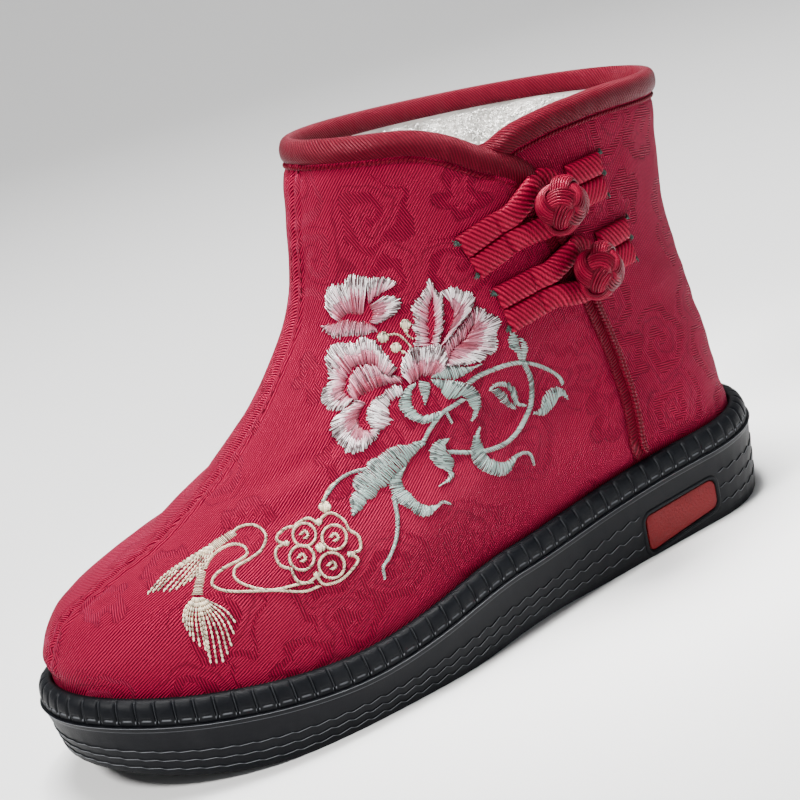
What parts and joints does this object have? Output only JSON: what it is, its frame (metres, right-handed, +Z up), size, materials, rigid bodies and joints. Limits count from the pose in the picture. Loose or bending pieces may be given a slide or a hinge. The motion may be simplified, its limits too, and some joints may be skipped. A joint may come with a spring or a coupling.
{
  "type": "padded cloth ankle boot",
  "caption": "Left ankle boot of padded red brocade with fleece lining, frog closures on the outer side and a moulded black rubber sole.",
  "frame": {"origin": "middle of the box's floor face, on the floor under the boot", "axes": "+X to the toe, +Y to the outer side of the left foot, +Z up"},
  "size_m": [0.262, 0.104, 0.165],
  "materials": {
    "outsole": "matt moulded rubber",
    "welt": "matt moulded rubber",
    "insole": "felt with fleece",
    "upper": "matt brocade outside, white fleece lining inside",
    "collar_binding": "satin, ribbed",
    "slit_binding": "satin, ribbed",
    "sole_badge": "matt soft plastic",
    "frog_loop_upper": "satin tape",
    "frog_loop_lower": "satin tape",
    "frog_tail_upper": "satin tape",
    "frog_tail_lower": "satin tape",
    "frog_button_upper": "satin cord knot",
    "frog_button_lower": "satin cord knot"
  },
  "bodies": {
    "root": {"outsole": "outsole", "welt": "welt", "insole": "insole", "upper": "upper", "collar_binding": "collar_binding", "slit_binding": "slit_binding", "sole_badge": "sole_badge", "frog_loop_upper": "frog_loop_upper", "frog_loop_lower": "frog_loop_lower", "frog_tail_upper": "frog_tail_upper", "frog_tail_lower": "frog_tail_lower", "frog_button_upper": "frog_button_upper", "frog_button_lower": "frog_button_lower"}
  },
  "joints": []
}
